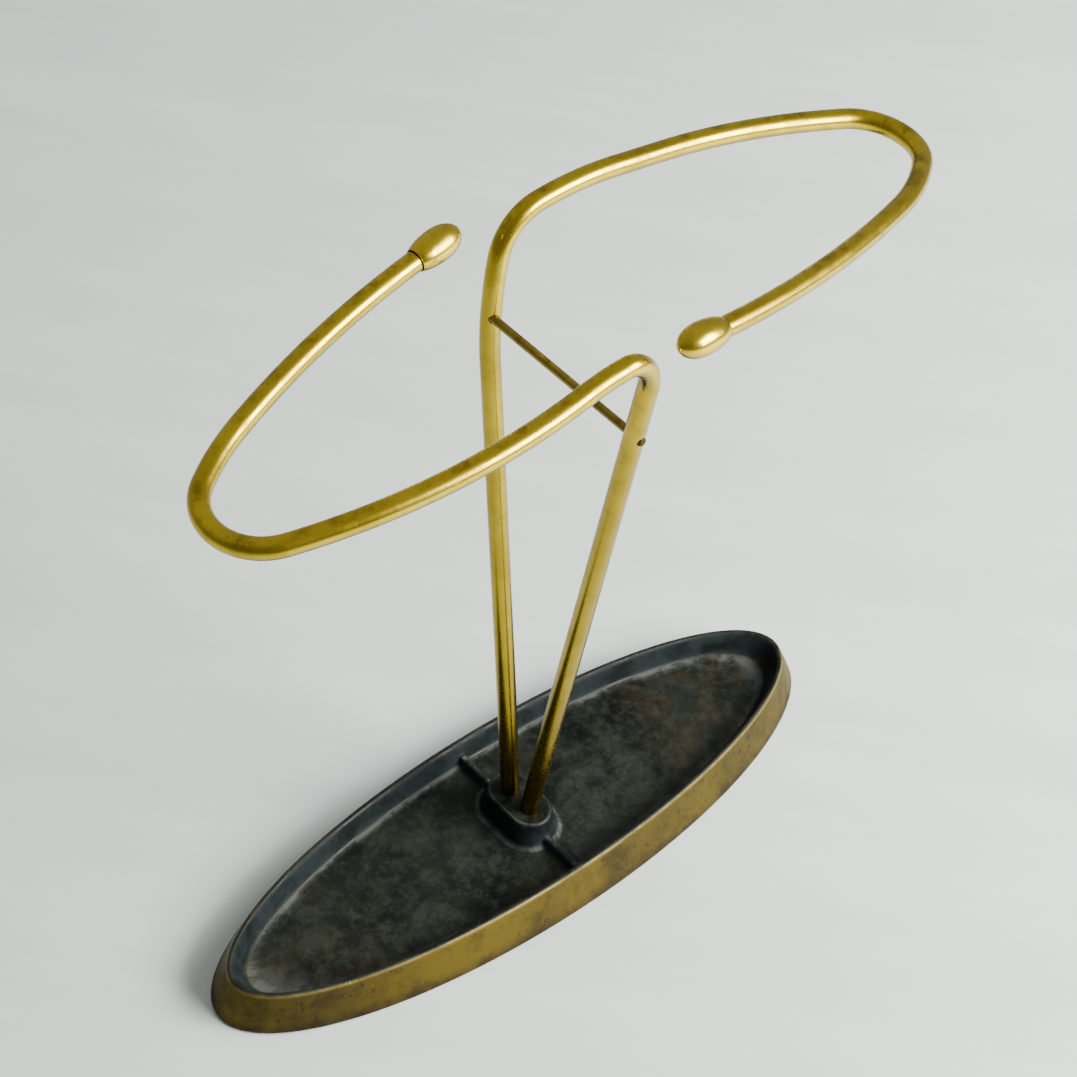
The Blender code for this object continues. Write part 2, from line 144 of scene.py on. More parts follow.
# The round seats under the boss as (distance along the foot's axis, radius).
SCREW_SEAT = ((-22.0, 5.2), (-13.2, 5.2))


# ---------------------------------------------------------------- node helpers


class Graph:
    """A short way to write one material's nodes."""

    def __init__(self, name):
        self.material = bpy.data.materials.new(name)
        self.material.use_nodes = True
        self.tree = self.material.node_tree
        self.shader = self.tree.nodes["Principled BSDF"]
        coords = self.tree.nodes.new("ShaderNodeTexCoord")
        self.place = coords.outputs["Object"]
        self.along = coords.outputs["UV"]

    def put(self, socket, value):
        """Link or set one input."""
        if isinstance(value, bpy.types.NodeSocket):
            self.tree.links.new(value, socket)
        else:
            socket.default_value = value

    def noise(self, scale, detail=4.0, rough=0.55, vector=None, distortion=0.0):
        """Noise between 0 and 1."""
        node = self.tree.nodes.new("ShaderNodeTexNoise")
        self.put(node.inputs["Vector"], vector or self.place)
        node.inputs["Scale"].default_value = scale
        node.inputs["Detail"].default_value = detail
        node.inputs["Roughness"].default_value = rough
        node.inputs["Distortion"].default_value = distortion
        return node.outputs["Fac"]

    def cells(self, scale):
        """Distance to scattered points."""
        node = self.tree.nodes.new("ShaderNodeTexVoronoi")
        self.put(node.inputs["Vector"], self.place)
        node.inputs["Scale"].default_value = scale
        return node.outputs["Distance"]

    def stretch(self, vector, scale):
        """Scale a vector on each axis."""
        node = self.tree.nodes.new("ShaderNodeMapping")
        self.put(node.inputs["Vector"], vector)
        node.inputs["Scale"].default_value = scale
        return node.outputs["Vector"]

    def turned(self, vector, degrees):
        """Turn a vector about the vertical."""
        node = self.tree.nodes.new("ShaderNodeMapping")
        self.put(node.inputs["Vector"], vector)
        node.inputs["Rotation"].default_value = (0.0, 0.0, math.radians(degrees))
        return node.outputs["Vector"]

    def span(self, value, low, high, to_low=0.0, to_high=1.0):
        """Map a range to another, smoothly and clamped."""
        node = self.tree.nodes.new("ShaderNodeMapRange")
        node.interpolation_type = 'SMOOTHSTEP'
        self.put(node.inputs["Value"], value)
        node.inputs["From Min"].default_value = low
        node.inputs["From Max"].default_value = high
        node.inputs["To Min"].default_value = to_low
        node.inputs["To Max"].default_value = to_high
        return node.outputs["Result"]

    def maths(self, operation, a, b):
        """One sum."""
        node = self.tree.nodes.new("ShaderNodeMath")
        node.operation = operation
        self.put(node.inputs[0], a)
        self.put(node.inputs[1], b)
        return node.outputs[0]

    def plus(self, a, b):
        """The sum of two values."""
        return self.maths('ADD', a, b)

    def minus(self, a, b):
        """The difference of two values."""
        return self.maths('SUBTRACT', a, b)

    def times(self, a, b):
        """The product of two values."""
        return self.maths('MULTIPLY', a, b)

    def blend(self, amount, a, b):
        """Mix two colours."""
        node = self.tree.nodes.new("ShaderNodeMix")
        node.data_type = 'RGBA'
        self.put(node.inputs["Factor"], amount)
        for slot, colour in ((6, a), (7, b)):
            linked = isinstance(colour, bpy.types.NodeSocket)
            self.put(node.inputs[slot], colour if linked else (*colour, 1.0))
        return node.outputs[2]

    def painted(self, name):
        """A value stored on the mesh."""
        node = self.tree.nodes.new("ShaderNodeAttribute")
        node.attribute_name = name
        return node.outputs["Fac"]

    def axis(self, letter):
        """One coordinate of the place, in metres."""
        node = self.tree.nodes.new("ShaderNodeSeparateXYZ")
        self.put(node.inputs[0], self.place)
        return node.outputs[letter]

    def facing(self, letter):
        """One part of the surface's direction."""
        geometry = self.tree.nodes.new("ShaderNodeNewGeometry")
        node = self.tree.nodes.new("ShaderNodeSeparateXYZ")
        self.put(node.inputs[0], geometry.outputs["Normal"])
        return node.outputs[letter]

    def glancing(self):
        """How far the surface turns away, 0 face on and 1 at its outline."""
        return self.tree.nodes.new("ShaderNodeLayerWeight").outputs["Facing"]

    def bump(self, height, distance, strength=1.0):
        """Raise the surface by a height map, distance in metres."""
        node = self.tree.nodes.new("ShaderNodeBump")
        node.inputs["Strength"].default_value = strength
        node.inputs["Distance"].default_value = distance
        self.put(node.inputs["Height"], height)
        self.put(self.shader.inputs["Normal"], node.outputs["Normal"])

    def surface(self, colour, roughness, metallic):
        """Set the shader's main inputs."""
        self.put(self.shader.inputs["Base Color"], colour)
        self.put(self.shader.inputs["Roughness"], roughness)
        self.put(self.shader.inputs["Metallic"], metallic)
        return self.material


def brass_material(name, bright, dull, tarnish_and_shade, patina=1.0, gloss=0.205):
    """Old satin brass: clouds of oxide, brown specks, fine drawn lines, and painted shade
    underneath, along the outline and on the uprights.
    """
    g = Graph(name)
    clouds = g.noise(17.0, 5.0, 0.6)
    fine = g.noise(95.0, 6.0, 0.65)
    specks = g.noise(620.0, 3.0, 0.6)
    up = g.facing("Z")
    topside = g.span(up, 0.25, 0.95)
    lines = g.noise(1.0, 3.0, 0.6, g.stretch(g.along, (90.0, 14.0, 1.0)))
    height = g.axis("Z")

    base = g.blend(g.span(clouds, 0.40, 0.66), bright, dull)
    mark_amount = g.times(g.span(fine, 0.44, 0.68), g.plus(0.28, g.times(topside, 0.5)))
    base = g.blend(g.times(mark_amount, patina), base, tarnish_and_shade)
    patches = g.times(g.span(g.noise(38.0, 4.0, 0.6), 0.52, 0.68), g.span(specks, 0.50, 0.60))
    spots = g.times(patches, g.plus(0.10, g.times(topside, 0.50)))
    base = g.blend(g.times(spots, patina), base, tuple(c * 0.35 for c in tarnish_and_shade))

    # Painted shade: darker underneath, towards its outline and on the uprights; darker still
    # towards the foot.
    underside_painted_shade = g.times(g.span(up, 0.05, -0.60), g.span(clouds, 0.25, 0.55, 0.80, 0.98))
    outline = g.span(g.glancing(), 0.50, 0.97, 0.0, 0.70)
    upright = g.span(height, 0.40, 0.33, 0.0, 0.42)
    foot = g.times(g.span(height, 0.24, 0.03, 0.0, 0.80), g.span(clouds, 0.30, 0.55, 0.6, 1.0))
    for amount in (underside_painted_shade, outline, upright, foot):
        base = g.blend(amount, base, tarnish_and_shade)
    seam = g.painted("seam")
    base = g.blend(seam, base, tuple(c * 0.08 for c in tarnish_and_shade))

    rough = g.plus(gloss, g.times(mark_amount, 0.20))
    rough = g.plus(rough, g.times(lines, 0.07))
    rough = g.plus(rough, g.times(seam, 0.3))
    relief = g.plus(g.times(lines, 0.16), g.times(g.noise(260.0, 3.0), 0.07))
    g.bump(g.minus(relief, g.times(spots, 0.5)), 0.00003, 0.30)
    return g.surface(base, rough, g.minus(1.0, g.times(spots, 0.35)))


def tray_material():
    """Black cast iron, dusty and a little rusty, with a dull olive-brass outer wall."""
    g = Graph("tray_iron_and_bronze")
    outer = g.painted("outer")
    edge = g.painted("edge")
    dust_and_highlight = g.painted("dust_and_highlight")
    x = g.axis("X")
    z = g.axis("Z")
    broad = g.noise(13.0, 5.0, 0.6, distortion=0.4)
    mottle = g.noise(48.0, 6.0, 0.68, distortion=0.3)
    grain = g.noise(520.0, 4.0, 0.7)
    up = g.span(g.facing("Z"), 0.55, 0.98)

    # The black inside: mottled iron, dust on what faces up, dust and a painted highlight along the
    # fillets and the boss's top edge, and a painted bluish sheen on what does not face up.
    iron = g.blend(g.span(mottle, 0.36, 0.66), (0.0020, 0.0030, 0.0022), (0.0105, 0.0125, 0.0085))
    iron = g.blend(g.times(g.span(broad, 0.42, 0.70), 0.55), iron, (0.0150, 0.0175, 0.0120))
    freckle = g.span(g.noise(170.0, 5.0, 0.72), 0.45, 0.66, 0.0, 0.62)
    iron = g.blend(freckle, iron, (0.0190, 0.0225, 0.0180))
    dusty = g.times(g.times(g.span(mottle, 0.50, 0.72), g.span(grain, 0.30, 0.72)), up)
    iron = g.blend(g.times(dusty, 0.34), iron, (0.052, 0.056, 0.044))
    # Dust and a painted highlight in lighter grey along the fillets and the boss's top edge.
    dust_and_highlight_amount = g.times(dust_and_highlight, g.span(mottle, 0.40, 0.60, 0.10, 0.62))
    iron = g.blend(dust_and_highlight_amount, iron, (0.105, 0.112, 0.100))
    # Painted bluish sheen on the inner wall and on whatever does not face up.
    wall_painted_sheen = g.blend(g.span(mottle, 0.36, 0.62),
                        (0.0045, 0.0068, 0.0070), (0.0100, 0.0145, 0.0155))
    iron = g.blend(g.minus(1.0, up), iron, wall_painted_sheen)

    # Rust, more at the far end.
    ends = g.plus(g.span(x, 0.06, 0.19), g.times(g.span(x, -0.10, -0.20), 0.35))
    rusting = g.times(ends, g.span(g.noise(31.0, 5.0, 0.7), 0.44, 0.66))
    iron = g.blend(g.times(g.times(rusting, up), 0.55), iron, (0.074, 0.045, 0.020))

    # The outer wall: mottled, dark along the foot, spotted.
    bronze = g.blend(g.span(broad, 0.36, 0.64), (0.104, 0.074, 0.009), (0.066, 0.048, 0.009))
    bronze = g.blend(g.span(mottle, 0.46, 0.70, 0.0, 0.72), bronze, (0.032, 0.021, 0.008))
    low = g.times(g.span(z, 0.0085, 0.0005), g.span(mottle, 0.30, 0.62, 0.35, 0.85))
    bronze = g.blend(low, bronze, (0.022, 0.015, 0.008))
    spots = g.times(g.span(g.noise(210.0, 3.0, 0.6), 0.60, 0.70), g.span(broad, 0.35, 0.60))
    bronze = g.blend(g.times(spots, 0.85), bronze, (0.020, 0.015, 0.009))

    # Worn brass and a painted highlight along the rim's edges.
    worn_edge_and_highlight = g.times(edge, g.span(g.noise(60.0, 4.0, 0.6), 0.30, 0.58, 0.25, 1.0))
    side = g.span(outer, 0.35, 0.65)
    colour = g.blend(side, iron, bronze)
    colour = g.blend(worn_edge_and_highlight, colour, (0.22, 0.17, 0.055))

    rough_iron = g.plus(g.span(mottle, 0.3, 0.7, 0.34, 0.70), g.times(g.plus(dusty, rusting), 0.16))
    rough_side = g.span(mottle, 0.3, 0.7, 0.46, 0.62)
    rough = g.plus(g.times(side, rough_side), g.times(g.minus(1.0, side), rough_iron))
    rough = g.minus(rough, g.times(worn_edge_and_highlight, 0.05))
    metal = g.plus(g.times(side, 0.62), g.times(worn_edge_and_highlight, 0.2))

    pits = g.times(g.span(g.cells(210.0), 0.22, 0.0), g.span(broad, 0.4, 0.6))
    relief = g.plus(mottle, g.times(grain, 0.35))
    g.bump(g.minus(relief, g.times(pits, 0.7)), 0.00042, 0.75)
    g.shader.inputs["Specular IOR Level"].default_value = 0.17
    return g.surface(colour, rough, metal)


def steel_material():
    """Plain steel screws and washers, dulled and lightly stained."""
    g = Graph("steel_fixing_worn")
    stain = g.noise(420.0, 4.0, 0.6)
    colour = g.blend(g.span(stain, 0.46, 0.66), (0.42, 0.42, 0.41), (0.20, 0.15, 0.10))
    g.bump(g.noise(900.0, 3.0, 0.6), 0.00003, 0.6)
    return g.surface(colour, g.span(stain, 0.3, 0.7, 0.34, 0.56), 1.0)


def floor_material():
    """A plain pale floor with the faintest brushed streaks."""
    g = Graph("pale_floor")
    streak = g.noise(1.0, 4.0, 0.6, g.stretch(g.turned(g.place, -41.0), (20.0, 1.6, 1.0)))
    cloud = g.noise(2.4, 4.0, 0.5)
    colour = g.blend(g.span(streak, 0.35, 0.70), (0.600, 0.655, 0.625), (0.652, 0.702, 0.672))
    colour = g.blend(g.span(cloud, 0.40, 0.70, 0.0, 0.25), colour, (0.560, 0.615, 0.582))
    g.bump(streak, 0.0004, 0.3)
    return g.surface(colour, g.span(streak, 0.3, 0.7, 0.50, 0.62), 0.0)


# ---------------------------------------------------------------- mesh helpers


def add_mesh(name, verts, faces, material):
    """Make an object from vertices in metres."""
    mesh = bpy.data.meshes.new(name)
    mesh.from_pydata([Vector(v) for v in verts], [], faces)
    mesh.materials.append(material)
    obj = bpy.data.objects.new(name, mesh)
    bpy.context.scene.collection.objects.link(obj)
    return obj


def face_outwards(obj):
    """Turn every face outwards."""
    bm = bmesh.new()
    bm.from_mesh(obj.data)
    bmesh.ops.recalc_face_normals(bm, faces=bm.faces)
    bm.to_mesh(obj.data)
    bm.free()


def shade(obj, degrees):
    """Shade smooth, sharp above the angle."""
    obj.data.shade_smooth()
    obj.data.set_sharp_from_angle(angle=math.radians(degrees))


def settle(piece, node):
    """Put a finished piece in place of its CAD node."""
    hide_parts(node)
    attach(piece, "root")


def cut(obj, cutter):
    """Take the cutter away from the object."""
    modifier = obj.modifiers.new("cut", 'BOOLEAN')
    modifier.operation = 'DIFFERENCE'
    modifier.solver = 'EXACT'
    modifier.object = cutter
    graph = bpy.context.evaluated_depsgraph_get()
    result = bpy.data.meshes.new_from_object(obj.evaluated_get(graph))
    obj.modifiers.clear()
    obj.data = result
    bpy.data.objects.remove(cutter, do_unlink=True)


def ring(centre, axis, side, radius, sides):
    """Return a ring of points round an axis, starting at side."""
    other = axis.cross(side)
    points = []
    for i in range(sides):
        angle = 2.0 * math.pi * i / sides
        points.append(centre + (side * math.cos(angle) + other * math.sin(angle)) * radius)
    return points


def join_rings(rings):
    """Return vertices and faces for rings joined in order and closed at both ends."""
    count = len(rings[0])
    verts = [v for r in rings for v in r]
    faces = []
    for i in range(len(rings) - 1):
        for j in range(count):
            k = (j + 1) % count
            faces.append((i * count + j, i * count + k, (i + 1) * count + k, (i + 1) * count + j))
    last = (len(rings) - 1) * count
    faces.append(tuple(reversed(range(count))))
    faces.append(tuple(range(last, last + count)))
    return verts, faces


def turned_piece(name, origin, axis, outline, sides, material):
    """Make a turned piece from (distance, radius) in metres."""
    axis = axis.normalized()
    side = axis.orthogonal().normalized()
    verts, faces = join_rings([ring(origin + axis * t, axis, side, r, sides) for t, r in outline])
    obj = add_mesh(name, verts, faces, material)
    face_outwards(obj)
    unwrap_turned(obj, origin, axis, side)
    return obj


def unwrap_turned(obj, origin, axis, side):
    """Give a turned piece coordinates round and along its axis."""
    other = axis.cross(side)
    layer = obj.data.uv_layers.new(name="along")
    for polygon in obj.data.polygons:
        for loop in polygon.loop_indices:
            offset = obj.data.vertices[obj.data.loops[loop].vertex_index].co - origin
            turn = math.atan2(offset.dot(other), offset.dot(side)) / (2.0 * math.pi)
            layer.data[loop].uv = (abs(turn) * 2.0, offset.dot(axis) * 10.0)


def smooth_outline(points, steps):
    """Return a smooth curve through outline points."""
    out = []
    last = len(points) - 1
    for i in range(last):
        p0 = points[max(i - 1, 0)]
        p1 = points[i]
        p2 = points[i + 1]
        p3 = points[min(i + 2, last)]
        for s in range(steps):
            t = s / steps
            out.append(tuple(
                0.5 * (2 * b + (c - a) * t + (2 * a - 5 * b + 4 * c - d) * t * t
                       + (3 * b - a - 3 * c + d) * t ** 3)
                for a, b, c, d in zip(p0, p1, p2, p3)
            ))
    out.append(points[-1])
    return out


# ---------------------------------------------------------------- tubes


def arc(start, heading, length, turn, steps):
    """Return points along a level arc and its end heading."""
    radius = length / turn
    points = []
    for i in range(1, steps + 1):
        angle = heading + turn * i / steps
        points.append(start + Vector((
            radius * (math.sin(angle) - math.sin(heading)),
            radius * (math.cos(heading) - math.cos(angle)),
        )))
    return points, heading + turn


def fine_steps(length, turn):
    """Return the number of rings for an arc."""
    return max(1, math.ceil(length / TUBE_STEP), math.ceil(abs(turn) / TURN_STEP))


def bend_points(bend, stages):
    """Return a staged bend as (distance along the old line, distance towards the new one)."""
    along, aside, angle = 0.0, 0.0, 0.0
    points = []
    for radius, share in stages:
        turn = bend * share
        steps = fine_steps(radius * turn, turn)
        for i in range(1, steps + 1):
            end = angle + turn * i / steps
            points.append((along + radius * (math.sin(end) - math.sin(angle)),
                           aside + radius * (math.cos(angle) - math.cos(end))))
        along, aside = points[-1]
        angle += turn
    return points


def tube_path(stages, heading, arcs):
    """Return the rear tube's centre line in millimetres from the tray's middle."""
    foot = Vector((0.0, FOOT_Y, FOOT_Z))
    foot_axis = Vector((0.0, math.sin(FOOT_LEAN), math.cos(FOOT_LEAN)))
    points = [foot + foot_axis * FOOT_END, foot]
    curve, _ = arc(Vector((0.0, 0.0)), math.pi / 2 - FOOT_LEAN, FOOT_CURVE_LENGTH,
                   FOOT_LEAN - UPRIGHT_LEAN, 24)
    points += [foot + Vector((0.0, p.x, p.y)) for p in curve]
    start = points[-1]
    upright = Vector((0.0, math.sin(UPRIGHT_LEAN), math.cos(UPRIGHT_LEAN)))

    along = Vector((math.cos(HOOP_DROP), 0.0, -math.sin(HOOP_DROP)))
    across = Vector((0.0, 1.0, 0.0))
    normal = along.cross(across)
    rise = (Vector((0.0, 0.0, HOOP_HEIGHT)) - start).dot(normal) / upright.dot(normal)
    corner = start + upright * rise
    out = along * math.cos(heading) + across * math.sin(heading)
    bend = upright.angle(out)
    bend_curve = bend_points(bend, stages)
    end_along, end_aside = bend_curve[-1]
    bend_start = corner - upright * (end_along - end_aside / math.tan(bend))
    run = (bend_start - start).length
    count = math.ceil(run / UPRIGHT_STEP)
    points += [start.lerp(bend_start, i / count) for i in range(1, count + 1)]
    inward = (out - upright * upright.dot(out)).normalized()
    points += [bend_start + upright * a + inward * b for a, b in bend_curve]

    origin = points[-1]
    at = Vector((0.0, 0.0))
    for length, degrees in arcs:
        turn = math.radians(degrees)
        piece, heading = arc(at, heading, length, turn, fine_steps(length, turn))
        points += [origin + along * p.x + across * p.y for p in piece]
        at = piece[-1]
    return points


def place_path(points, middle, turned):
    """Move a path from the tray's middle into the frame, turned half round for the front tube."""
    sign = -1.0 if turned else 1.0
    return [Vector((middle.x + sign * p.x * MM, middle.y + sign * p.y * MM, p.z * MM))
            for p in points]


def tangents_of(points):
    """Return the path's direction at each point."""
    out = []
    for i in range(len(points)):
        before = points[max(i - 1, 0)]
        after = points[min(i + 1, len(points) - 1)]
        out.append((after - before).normalized())
    return out


def make_tube(name, points, material):
    """Sweep a tube along its path, with coordinates round and along it and a dark end."""
    points = points[:-1] + [points[-1].lerp(points[-2], 0.28), points[-1]]
    tangents = tangents_of(points)
    side = Vector((1.0, 0.0, 0.0))
    rings = []
    reach = [0.0]
    for i, point in enumerate(points):
        if i > 0:
            side = tangents[i - 1].rotation_difference(tangents[i]) @ side
            reach.append(reach[-1] + (point - points[i - 1]).length)
        side = (side - tangents[i] * side.dot(tangents[i])).normalized()
        rings.append(ring(point, tangents[i], side, TUBE_RADIUS * MM, TUBE_SIDES))
    verts, faces = join_rings(rings)
    obj = add_mesh(name, verts, faces, material)
    last = len(verts) - TUBE_SIDES
    paint(obj, "seam", [1.0 if i >= last else 0.0 for i in range(len(verts))])
    layer = obj.data.uv_layers.new(name="along")
    for polygon in obj.data.polygons[:-2]:
        row, column = divmod(polygon.index, TUBE_SIDES)
        corners = ((row, column), (row, column + 1), (row + 1, column + 1), (row + 1, column))
        for loop, (i, j) in zip(polygon.loop_indices, corners):
            layer.data[loop].uv = (j / TUBE_SIDES, reach[i] * 10.0)
    return obj


def point_at_height(points, height):
    """Return the point of the upright at a height."""
    for low, high in zip(points, points[1:]):
        if low.z <= height <= high.z:
            return low.lerp(high, (height - low.z) / (high.z - low.z))
    return points[0]


def paint(obj, name, values):
    """Store one value for each vertex."""
    layer = obj.data.attributes.new(name, 'FLOAT', 'POINT')
    for item, value in zip(layer.data, values):
        item.value = value


def make_finial(name, points, material):
    """Make the egg at a tube's end."""
    axis = tangents_of(points)[-1]
    outline = [(t * MM, r * MM) for t, r in smooth_outline(FINIAL_OUTLINE, 4)]
    neck = points[-1] + axis * FINIAL_GAP * MM
    egg = turned_piece(name, neck, axis, outline, 72, material)
    seam = FINIAL_SEAM * MM
    paint(egg, "seam", [float((v.co - neck).dot(axis) < seam) for v in egg.data.vertices])
    shade(egg, 50.0)
    return egg


def make_crossbar(material):
    """Make the rod between the uprights, its ends peened into low domes and stained dark."""
    low, high = [Vector(corner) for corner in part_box("crossbar")]
    middle = (low + high) / 2
    half = (high.y - low.y) / 2
    front = -half
    rear = half - CROSSBAR_TAIL * MM
    radius = CROSSBAR_RADIUS * MM
    dome = [(t * MM, share * radius) for t, share in CROSSBAR_DOME]
    inner = dome[-1][0]
    length = rear - front - 2 * inner
    outline = [(front + t, r) for t, r in dome]
    outline += [(front + inner + length * i / CROSSBAR_STEPS, radius)
                for i in range(1, CROSSBAR_STEPS)]
    outline += [(rear - t, r) for t, r in reversed(dome)]
    bar = turned_piece("crossbar_rod", middle, Vector((0.0, 1.0, 0.0)), outline, 32, material)
    stained = half - CROSSBAR_STAIN * MM
    paint(bar, "seam", [0.8 if abs(v.co.y - middle.y) > stained else 0.0
                        for v in bar.data.vertices])
    shade(bar, 45.0)
    return bar, middle


# ---------------------------------------------------------------- tray


def lookup(table, value):
    """Return a table's value, in straight lines between its points."""
    if value <= table[0][0]:
        return table[0][1]
    for (a, va), (b, vb) in zip(table, table[1:]):
        if value <= b:
            return va + (vb - va) * (value - a) / (b - a)
    return table[-1][1]


def soft_max(a, b, width=1.2):
    """Return the greater of two heights with a fillet between them."""
    overlap = max(width - abs(a - b), 0.0) / width
    return max(a, b) + overlap * overlap * width * 0.25


def casting_height(x, y, level):
    """Return the height of the inside of the tray, boss and ribs, in millimetres."""
    beyond = max(abs(y) - BOSS_SPACING, 0.0)
    boss = lookup(BOSS_SLOPE, math.hypot(x, beyond))
    rib = lookup(RIB_SLOPE, abs(x)) if abs(y) < RIB_REACH else 0.0
    above_floor = FLOOR_LEVEL + 0.01
    height = soft_max(level, rib) if rib > above_floor else level
    return soft_max(height, boss) if boss > above_floor else height


def spokes():
    """Return for each spoke round the tray its rib offset, or its share of the way to the end."""
    quarter = [('rib', k * RIB_SPOKE_GAP) for k in range(RIB_SPOKES)]
    for i in range(1, QUARTER_SPOKES + 1):
        quarter.append(('end', i / QUARTER_SPOKES))
    out = [(kind, value, 1, 1) for kind, value in quarter]
    out += [(kind, value, 1, -1) for kind, value in reversed(quarter[:-1])]
    out += [(kind, value, -1, -1) for kind, value in quarter[1:]]
    out += [(kind, value, -1, 1) for kind, value in reversed(quarter[1:-1])]
    return out


def oval_point(spoke, half_length, half_width):
    """Return a spoke's point on an oval."""
    kind, value, sx, sy = spoke
    edge = (RIB_SPOKES - 1) * RIB_SPOKE_GAP
    if kind == 'rib':
        x = value
        y = half_width * math.sqrt(1.0 - (x / half_length) ** 2)
    else:
        first = math.acos(edge / half_length)
        angle = first * (1.0 - value ** 1.25)
        x = half_length * math.cos(angle)
        y = half_width * math.sin(angle)
    return sx * x, sy * y


def boss_point(spoke, radius):
    """Return a spoke's point on a stadium round the boss, the ribs' spokes fanned near it."""
    kind, value, sx, sy = spoke
    edge = (RIB_SPOKES - 1) * RIB_SPOKE_GAP
    if kind == 'rib':
        x = value if radius >= BOSS_FAN_RADIUS else radius * value / BOSS_FAN_RADIUS
        y = BOSS_SPACING + math.sqrt(radius * radius - x * x)
        return sx * x, sy * y
    first = math.asin(edge / max(radius, BOSS_FAN_RADIUS))
    round_length = radius * (math.pi / 2 - first)
    travel = (round_length + BOSS_SPACING) * value
    if travel <= round_length:
        angle = first + travel / radius
        return sx * radius * math.sin(angle), sy * (BOSS_SPACING + radius * math.cos(angle))
    return sx * radius, sy * (BOSS_SPACING - (travel - round_length))


def make_tray(middle, material):
    """Make the casting: boss, floor and ribs, wall, rim, outer side and hollow underside."""
    lines = spokes()
    rings = []
    marks = []

    def add_ring(points, outer, edge, dust_and_highlight):
        rings.append([middle + Vector(p) * MM for p in points])
        marks.append((outer, edge, dust_and_highlight))

    def cast(x, y, level):
        broad = noise.noise(Vector((x, y, 3.0)) * 0.06)
        fine = noise.noise(Vector((x, y, 9.0)) * 0.19)
        return casting_height(x, y, level) + (broad + 0.5 * fine) * CAST_UNEVENNESS

    for radius in BOSS_RADII:
        points = []
        for spoke in lines:
            x, y = boss_point(spoke, radius)
            points.append((x, y, cast(x, y, FLOOR_LEVEL)))
        # Painted highlight on the boss's rounded top edge; dust and a painted highlight round its
        # foot.
        mark_amount = 0.75 if 11.5 < radius < 12.8 else 0.0
        dusty = 0.8 if 16.0 < radius < 19.5 else 0.0
        add_ring(points, 0.0, 0.0, max(mark_amount, dusty))
    for share in SPREAD_STEPS:
        points = []
        for spoke in lines:
            ax, ay = boss_point(spoke, BOSS_RADII[-1])
            bx, by = oval_point(spoke, FLOOR_RING[0], FLOOR_RING[1])
            x = ax + (bx - ax) * share
            y = ay + (by - ay) * share
            points.append((x, y, cast(x, y, FLOOR_RING[2])))
        # Dust and a painted highlight along the edge of the tray's floor.
        add_ring(points, 0.0, 0.0, 0.35 if share > 0.99 else 0.0)
    for index, (a, b, z) in enumerate(WALL_RINGS):
        points = []
        for spoke in lines:
            x, y = oval_point(spoke, a, b)
            points.append((x, y, cast(x, y, z) if z < CAST_LIMIT else z))
        # Dust and a painted highlight along the foot of the inner wall; a painted highlight along
        # the rim's inner edge.
        dusty = 0.9 if index < 3 else 0.0
        bright = 0.25 if index == len(WALL_RINGS) - 1 else 0.0
        add_ring(points, 0.0, bright, dusty)
    for index, (a, b, z) in enumerate(OUTER_RINGS):
        points = [(*oval_point(spoke, a, b), z) for spoke in lines]
        # Worn brass and a painted highlight along the rim's outer edge.
        bright = (1.0, 0.55, 0.0)[min(index, 2)]
        add_ring(points, 1.0, bright, 0.0)
    for a, b, z in UNDER_RINGS:
        add_ring([(*oval_point(spoke, a, b), z) for spoke in lines], 0.0, 0.0, 0.0)

    verts, faces = join_rings(rings)
    tray = add_mesh("tray_casting", verts, faces, material)
    face_outwards(tray)
    count = len(lines)
    for column, name in enumerate(("outer", "edge", "dust_and_highlight")):
        paint(tray, name, [mark[column] for mark in marks for _ in range(count)])
    return tray


def cut_screw_seats(tray, middle, material):
    """Cut the two round seats under the boss for the washers and screw heads."""
    for side in (1.0, -1.0):
        foot = middle + Vector((0.0, side * FOOT_Y * MM, FOOT_Z * MM))
        axis = Vector((0.0, side * math.sin(FOOT_LEAN), math.cos(FOOT_LEAN)))
        outline = [(t * MM, r * MM) for t, r in SCREW_SEAT]
        cut(tray, turned_piece("seat_cutter", foot, axis, outline, 48, material))


# ---------------------------------------------------------------- scene


def add_area_light(name, place, target, size, power, colour, mirrored=True):
    """Add a soft rectangular light aimed at a point, seen in reflections or not."""
    data = bpy.data.lights.new(name, 'AREA')
    data.shape = 'RECTANGLE'
    data.size, data.size_y = size
    data.energy = power
    data.color = colour
    light = bpy.data.objects.new(name, data)
    light.location = place
    light.visible_glossy = mirrored
    light.rotation_euler = (Vector(target) - Vector(place)).to_track_quat('-Z', 'Y').to_euler()
    bpy.context.scene.collection.objects.link(light)


def add_camera():
    """Add the camera."""
    data = bpy.data.cameras.new("camera")
    data.sensor_width = 36.0
    data.lens = CAMERA_LENS
    data.clip_start = 0.05
    data.clip_end = 30.0
    camera = bpy.data.objects.new("camera", data)
    camera.location = CAMERA_PLACE
    camera.rotation_euler = [math.radians(a) for a in CAMERA_TURN]
    bpy.context.scene.collection.objects.link(camera)
    bpy.context.scene.camera = camera


def add_world():
    """Add a pale room: brighter overhead and behind the stand, dim on the window's side."""
    world = bpy.data.worlds.new("pale_room")
    world.use_nodes = True
    tree = world.node_tree
    background = tree.nodes["Background"]
    background.inputs["Color"].default_value = (0.80, 0.83, 0.81, 1.0)
    coords = tree.nodes.new("ShaderNodeTexCoord")
    towards = tree.nodes.new("ShaderNodeVectorMath")
    towards.operation = 'DOT_PRODUCT'
    towards.inputs[1].default_value = (0.45, 0.55, 0.70)
    tree.links.new(coords.outputs["Generated"], towards.inputs[0])
    level = tree.nodes.new("ShaderNodeMapRange")
    level.interpolation_type = 'SMOOTHSTEP'
    level.inputs["From Min"].default_value = -0.25
    level.inputs["From Max"].default_value = 0.75
    level.inputs["To Min"].default_value = 0.24
    level.inputs["To Max"].default_value = 0.56
    tree.links.new(towards.outputs["Value"], level.inputs["Value"])
    tree.links.new(level.outputs["Result"], background.inputs["Strength"])
    bpy.context.scene.world = world


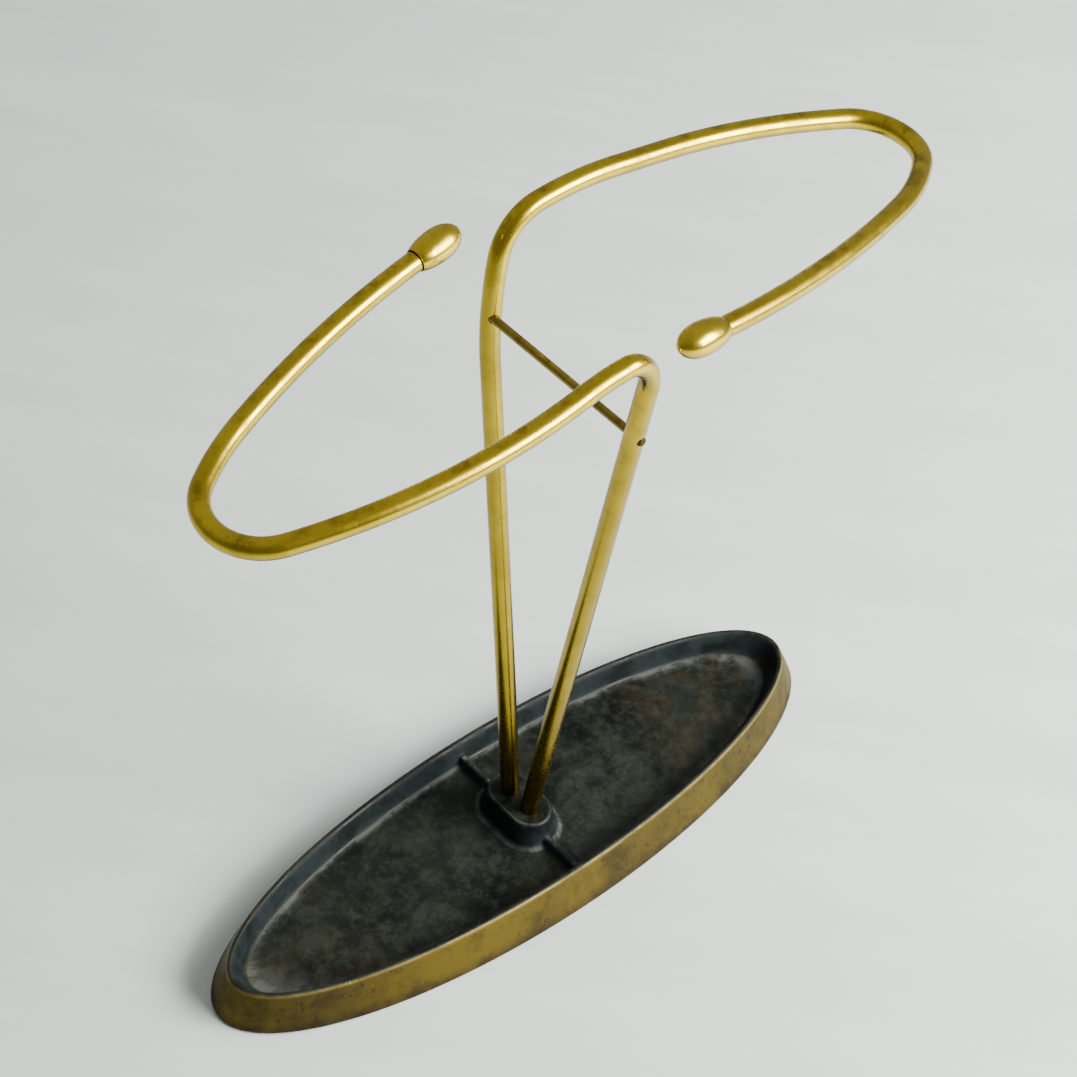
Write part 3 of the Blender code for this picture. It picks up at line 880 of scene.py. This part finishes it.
def add_surroundings():
    """Add the pale floor, the soft lights and the pale room."""
    verts = [(-6.0, -6.0, 0.0), (6.0, -6.0, 0.0), (6.0, 6.0, 0.0), (-6.0, 6.0, 0.0)]
    floor = add_mesh("floor", verts, [(0, 1, 2, 3)], floor_material())
    floor.location.z = -0.0004
    add_area_light("window", (0.98, -1.60, 1.24), (0.0, 0.0, 0.35), (1.45, 1.05), 150.0,
                   (1.0, 0.985, 0.94))
    add_area_light("ceiling", (1.25, -0.75, 1.25), (0.4, -0.25, 0.0), (0.9, 0.9), 42.0,
                   (0.96, 0.99, 1.0), False)
    add_world()


def main():
    """Dress the frame and set up the picture."""
    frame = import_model()
    add_camera()
    add_surroundings()

    tube_brass = brass_material("brass_tube_old", (0.62, 0.447, 0.038), (0.47, 0.332, 0.026),
                                (0.20, 0.130, 0.010))
    egg_brass = brass_material("brass_finial_old", (0.68, 0.492, 0.045), (0.57, 0.40, 0.034),
                               (0.31, 0.185, 0.020), 0.7, 0.19)
    rod_brass = brass_material("brass_rod_old", (0.40, 0.295, 0.055), (0.29, 0.205, 0.04),
                               (0.12, 0.075, 0.018), 1.0, 0.34)
    steel = steel_material()

    low, high = [Vector(corner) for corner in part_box("base_tray")]
    middle = Vector(((low.x + high.x) / 2, (low.y + high.y) / 2, 0.0))
    tray_look = tray_material()
    tray = make_tray(middle, tray_look)
    cut_screw_seats(tray, middle, tray_look)
    shade(tray, 42.0)
    settle(tray, "base_tray")

    bar, bar_middle = make_crossbar(rod_brass)
    settle(bar, "crossbar")

    reach = CROSSBAR_DRILL_REACH * MM
    hole = CROSSBAR_HOLE_RADIUS * MM
    rear = place_path(tube_path(REAR_BEND, REAR_HEADING, REAR_ARCS), middle, False)
    front = place_path(tube_path(FRONT_BEND, FRONT_HEADING, FRONT_ARCS), middle, True)
    for name, points in (("rear", rear), ("front", front)):
        tube = make_tube(name + "_tube", points, tube_brass)
        at = Vector((bar_middle.x, point_at_height(points, bar_middle.z).y, bar_middle.z))
        drill = turned_piece("drill", at, Vector((0.0, 1.0, 0.0)), ((-reach, hole), (reach, hole)),
                             40, rod_brass)
        cut(tube, drill)
        shade(tube, 40.0)
        settle(tube, name + "_hoop_tube")
        settle(make_finial(name + "_egg", points, egg_brass), name + "_finial")

    for node, obj in frame["nodes"].items():
        if "spigot" in node or "plug" in node:
            look = rod_brass
        elif "screw" in node or "washer" in node:
            look = steel
        else:
            continue
        for slot in obj.material_slots:
            slot.material = look


main()
